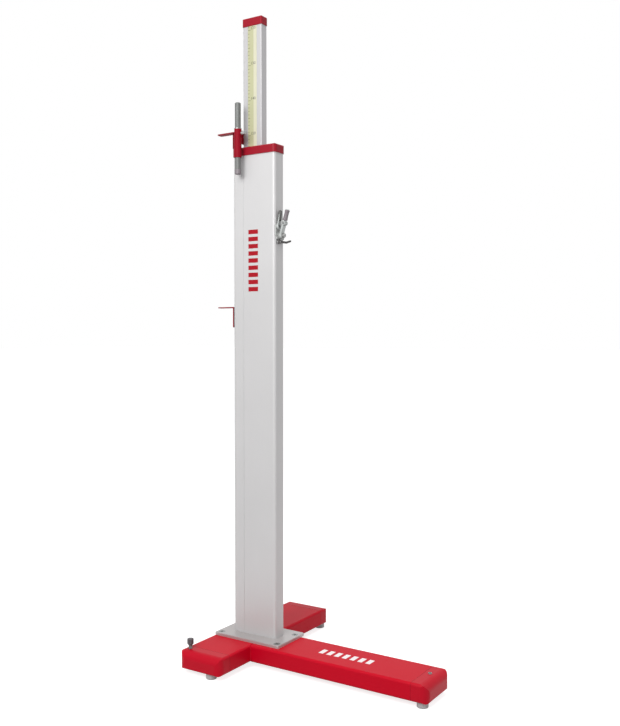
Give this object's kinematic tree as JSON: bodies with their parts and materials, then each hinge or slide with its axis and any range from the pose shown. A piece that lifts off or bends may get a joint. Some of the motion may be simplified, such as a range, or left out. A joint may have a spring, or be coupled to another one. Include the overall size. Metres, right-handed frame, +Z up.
{
  "type": "free-standing telescopic net post",
  "caption": "Free-standing telescopic aluminium post on a red T base, raised by a crank, with flat supports for a cord or crossbar.",
  "frame": {"origin": "centre of the footprint, on the floor under the feet", "axes": "+Z up along the post, +X along the long arm, +Y towards the longer wing of the cross beam"},
  "size_m": [0.7208, 0.561, 1.85],
  "materials": {
    "red_paint": "gloss powder coat",
    "red_plastic": "moulded",
    "aluminium": "fine brushed, anodised",
    "steel": "zinc plated",
    "black_plastic": "moulded",
    "grey_plastic": "moulded",
    "black_steel": "satin black",
    "white_plastic": "machined acetal",
    "rubber": "matte",
    "bronze": "sintered",
    "cast_iron": "raw casting",
    "tape": "printed film"
  },
  "bodies": {
    "base": {"cross_beam": "red_paint", "long_arm": "red_paint", "beam_end_caps": "red_plastic", "ballast_bars": "cast_iron", "ballast_bolts": "steel", "fixed_feet": "rubber", "levelling_nuts": "steel", "base_plate": "aluminium", "plate_bolts": "steel", "plate_nuts": "steel", "foot_block": "aluminium", "foot_bolts": "steel", "column": "aluminium", "column_screws": "steel", "column_cap": "red_plastic", "mast_guide": "white_plastic", "stop_buffer": "rubber", "bearing_block": "aluminium", "shaft_bushes": "bronze", "lift_housing": "aluminium", "housing_screws": "steel", "brake_plug": "bronze"},
    "mast": {"mast": "aluminium", "mast_cap": "red_plastic", "mast_shoe": "white_plastic", "rack": "steel", "rack_screws": "steel", "scale_tape": "tape", "mast_bracket": "red_paint", "bracket_screws": "steel", "upper_support": "red_paint", "upper_support_screws": "steel"},
    "rod": {"guide_rod": "steel", "rod_ring": "steel", "rod_tip": "grey_plastic"},
    "rod_clamp": {"rod_clamp_knob": "steel", "rod_clamp_screw": "steel"},
    "slider": {"slider_block": "aluminium", "slider_nut": "steel", "lower_support": "red_paint", "lower_support_screws": "steel"},
    "slider_clamp": {"slider_clamp_screw": "steel"},
    "crank": {"crank_shaft": "steel", "pinion": "steel", "crank_arm": "steel", "crank_nut": "steel", "fold_pin": "steel"},
    "crank_fold": {"knob_pin": "steel"},
    "crank_grip": {"crank_knob": "grey_plastic"},
    "brake": {"brake_shaft": "steel", "brake_lever": "steel", "brake_lever_grip": "black_plastic"},
    "mast_lock": {"lock_screw": "steel", "lock_lever": "black_steel"},
    "front_foot": {"front_foot": "steel"},
    "front_screw": {"front_level_screw": "steel"},
    "arm_foot": {"arm_foot": "steel"},
    "arm_screw": {"arm_level_screw": "steel"}
  },
  "joints": [
    {"name": "mast_lift", "type": "slide", "parent": "base", "child": "mast", "axis": [0, 0, 1], "range_m": [0, 1]},
    {"name": "crank_turn", "type": "hinge", "parent": "base", "child": "crank", "pos_m": [-0.12665, -0.0615, 1.222], "axis": [1, 0, 0], "range_deg": [-1, 4776.65]},
    {"name": "crank_fold_turn", "type": "hinge", "parent": "crank", "child": "crank_fold", "pos_m": [-0.12343, -0.0615, 1.25652], "axis": [0, 1, 0], "range_deg": [0, 73]},
    {"name": "crank_grip_spin", "type": "hinge", "parent": "crank_fold", "child": "crank_grip", "pos_m": [-0.11718, -0.0615, 1.27761], "axis": [0.284, 0, 0.9588], "continuous": true},
    {"name": "brake_turn", "type": "hinge", "parent": "base", "child": "brake", "pos_m": [-0.13615, -0.0715, 1.247], "axis": [1, 0, 0], "range_deg": [0, 40]},
    {"name": "mast_lock_turn", "type": "hinge", "parent": "base", "child": "mast_lock", "pos_m": [-0.13765, -0.0665, 1.2045], "axis": [1, 0, 0], "range_deg": [-80, 0]},
    {"name": "rod_slide", "type": "slide", "parent": "mast", "child": "rod", "axis": [0, 0, 1], "range_m": [0, 0.033]},
    {"name": "rod_clamp_turn", "type": "hinge", "parent": "mast", "child": "rod_clamp", "pos_m": [-0.24165, -0.1005, 1.517], "axis": [1, 0, 0], "range_deg": [0, 270]},
    {"name": "slider_lift", "type": "slide", "parent": "base", "child": "slider", "axis": [0, 0, 1], "range_m": [-0.7, 0.3]},
    {"name": "slider_clamp_turn", "type": "hinge", "parent": "slider", "child": "slider_clamp", "pos_m": [-0.29465, -0.0565, 0.993], "axis": [1, 0, 0], "range_deg": [0, 270]},
    {"name": "front_foot_travel", "type": "slide", "parent": "base", "child": "front_foot", "axis": [0, 0, 1], "range_m": [-0.01, 0]},
    {"name": "front_screw_turn", "type": "hinge", "parent": "front_foot", "child": "front_screw", "pos_m": [-0.31365, -0.2505, 0.04], "axis": [0, 0, 1], "range_deg": [-2410, 5]},
    {"name": "arm_foot_travel", "type": "slide", "parent": "base", "child": "arm_foot", "axis": [0, 0, 1], "range_m": [-0.01, 0]},
    {"name": "arm_screw_turn", "type": "hinge", "parent": "arm_foot", "child": "arm_screw", "pos_m": [0.33035, -0.0585, 0.04], "axis": [0, 0, 1], "range_deg": [-2410, 5]}
  ],
  "couplings": [
    {"joint": "crank_turn", "follows": "mast_lift", "rad_per_m": 83.333},
    {"joint": "front_screw_turn", "follows": "front_foot_travel", "rad_per_m": 4188.8},
    {"joint": "arm_screw_turn", "follows": "arm_foot_travel", "rad_per_m": 4188.8}
  ]
}
